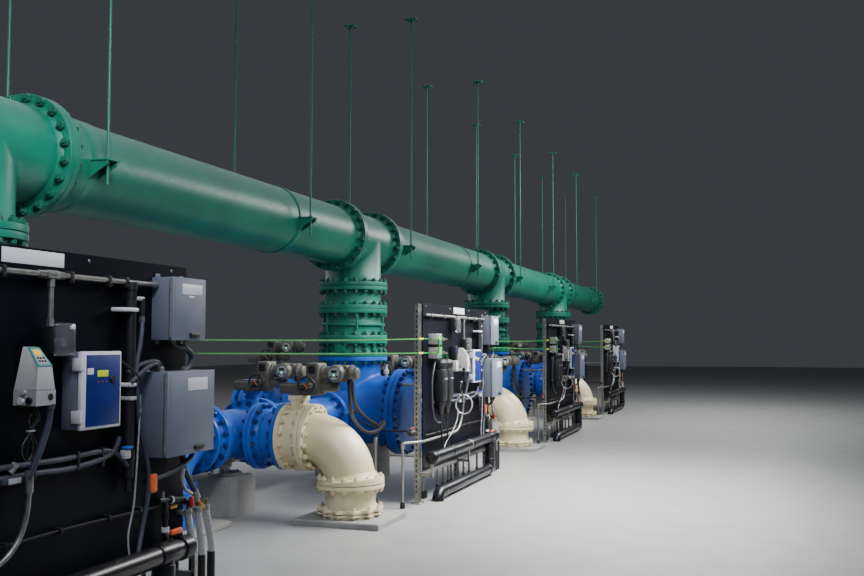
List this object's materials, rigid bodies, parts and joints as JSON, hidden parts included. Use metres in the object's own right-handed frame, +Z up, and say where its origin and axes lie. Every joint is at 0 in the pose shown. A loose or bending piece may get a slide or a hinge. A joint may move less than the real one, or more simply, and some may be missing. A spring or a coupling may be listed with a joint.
{
  "type": "filter gallery pipework",
  "caption": "Overhead header with hung tees, valved drop legs, floor-level effluent lines and waste elbows, with analyser boards on strut frames along the aisle.",
  "frame": {"origin": "on the floor, at the centre of the underside of the first blue tee's pedestal, under the first drop leg", "axes": "+X along the header away from the camera, +Y towards the wall, +Z up"},
  "size_m": [27.6001, 3.043, 5.7],
  "materials": {
    "green_enamel": "sea green gloss enamel on ductile iron",
    "blue_enamel": "deep blue gloss enamel on ductile iron",
    "cream_enamel": "cream gloss enamel on cast iron",
    "grey_enamel": "warm grey semi-gloss coating on cast aluminium",
    "black_coating": "black powder coating",
    "concrete": "painted grey concrete",
    "board_sheet": "near-black sheet, satin",
    "galvanised_steel": "galvanised strut"
  },
  "bodies": {
    "gallery": {"header_tee_1": "green_enamel", "header_pipe_1": "green_enamel", "drop_spool_1": "green_enamel", "drop_valve_1": "green_enamel", "effluent_tee_1": "blue_enamel", "effluent_line_1": "blue_enamel", "waste_valve_1": "cream_enamel", "waste_actuator_1": "grey_enamel", "waste_elbow_1": "cream_enamel", "waste_pad_1": "concrete", "pipe_pier_1": "concrete", "panel_board_1": "board_sheet", "panel_frame_1": "galvanised_steel", "header_tee_2": "green_enamel", "header_pipe_2": "green_enamel", "drop_spool_2": "green_enamel", "drop_valve_2": "green_enamel", "effluent_tee_2": "blue_enamel", "effluent_line_2": "blue_enamel", "waste_valve_2": "cream_enamel", "waste_actuator_2": "grey_enamel", "waste_elbow_2": "cream_enamel", "waste_pad_2": "concrete", "pipe_pier_2": "concrete", "panel_board_2": "board_sheet", "panel_frame_2": "galvanised_steel", "header_tee_3": "green_enamel", "header_pipe_3": "green_enamel", "drop_spool_3": "green_enamel", "drop_valve_3": "green_enamel", "effluent_tee_3": "blue_enamel", "effluent_line_3": "blue_enamel", "waste_valve_3": "cream_enamel", "waste_actuator_3": "grey_enamel", "waste_elbow_3": "cream_enamel", "waste_pad_3": "concrete", "pipe_pier_3": "concrete", "panel_board_3": "board_sheet", "panel_frame_3": "galvanised_steel", "header_tee_4": "green_enamel", "header_pipe_4": "green_enamel", "drop_spool_4": "green_enamel", "drop_valve_4": "green_enamel", "effluent_tee_4": "blue_enamel", "effluent_line_4": "blue_enamel", "waste_valve_4": "cream_enamel", "waste_actuator_4": "grey_enamel", "waste_elbow_4": "cream_enamel", "waste_pad_4": "concrete", "pipe_pier_4": "concrete", "panel_board_4": "board_sheet", "panel_frame_4": "galvanised_steel", "header_blind_near": "green_enamel", "header_blind_far": "green_enamel"},
    "handwheel_1": {"waste_handwheel_1": "black_coating"},
    "handwheel_2": {"waste_handwheel_2": "black_coating"},
    "handwheel_3": {"waste_handwheel_3": "black_coating"},
    "handwheel_4": {"waste_handwheel_4": "black_coating"}
  },
  "joints": [
    {"name": "handwheel_1_turn", "type": "hinge", "parent": "gallery", "child": "handwheel_1", "pos_m": [-2.983, -0.846, 1.185], "axis": [1, 0, 0], "continuous": true},
    {"name": "handwheel_2_turn", "type": "hinge", "parent": "gallery", "child": "handwheel_2", "pos_m": [3.017, -0.846, 1.185], "axis": [1, 0, 0], "continuous": true},
    {"name": "handwheel_3_turn", "type": "hinge", "parent": "gallery", "child": "handwheel_3", "pos_m": [9.017, -0.846, 1.185], "axis": [1, 0, 0], "continuous": true},
    {"name": "handwheel_4_turn", "type": "hinge", "parent": "gallery", "child": "handwheel_4", "pos_m": [15.017, -0.846, 1.185], "axis": [1, 0, 0], "continuous": true}
  ]
}
